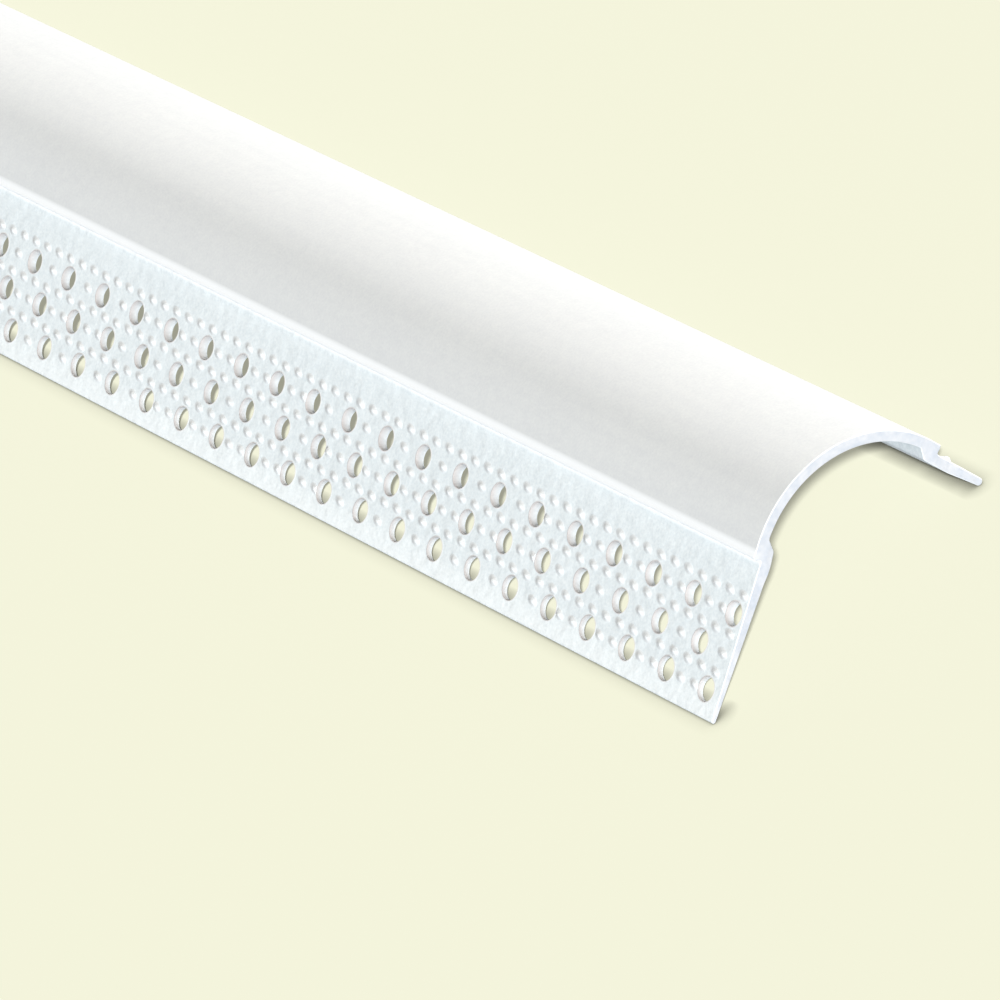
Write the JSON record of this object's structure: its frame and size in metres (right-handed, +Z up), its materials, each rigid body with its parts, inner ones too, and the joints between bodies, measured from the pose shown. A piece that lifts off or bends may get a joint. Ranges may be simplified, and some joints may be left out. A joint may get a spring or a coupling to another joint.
{
  "type": "bullnose corner bead",
  "caption": "Rounded wall corner trim in white vinyl: a bullnose wall between two stepped flanges, one wide and one narrow, punched with round holes.",
  "frame": {"origin": "middle of the bead's length, on the level floor that its two flange tips rest on, midway between them", "axes": "+X along the bead to the cut end nearest in the picture, +Y to the short flange, +Z up"},
  "size_m": [2.4384, 0.051, 0.0216],
  "materials": {
    "vinyl": "white PVC extrusion, satin, with a fine matt grain"
  },
  "bodies": {
    "root": {"bead": "vinyl"}
  },
  "joints": []
}
